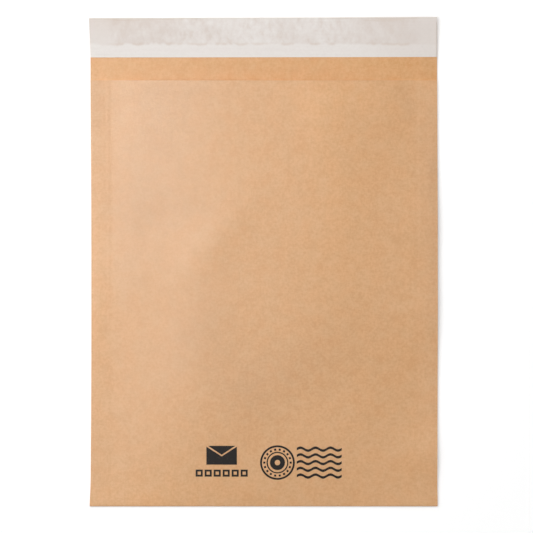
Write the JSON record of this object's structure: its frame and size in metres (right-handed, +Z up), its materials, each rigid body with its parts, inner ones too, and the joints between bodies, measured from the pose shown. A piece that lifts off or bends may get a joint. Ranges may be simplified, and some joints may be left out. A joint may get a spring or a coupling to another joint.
{
  "type": "paper mailer",
  "caption": "Flat kraft paper mailer: a folded sheet with glued sides, an open pocket, and a closing flap with an adhesive strip under a release liner.",
  "frame": {"origin": "on the table, under the middle of the mailer's outline", "axes": "+X across the mailer, +Y from the bottom fold to the end of the flap, +Z up, out of the front panel"},
  "size_m": [0.2173, 0.3049, 0.0085],
  "materials": {
    "kraft_paper": "matte",
    "hot_melt": "satin",
    "glassine": "satin"
  },
  "bodies": {
    "root": {"pouch": "kraft_paper", "adhesive_strip": "hot_melt", "release_liner": "glassine"}
  },
  "joints": []
}
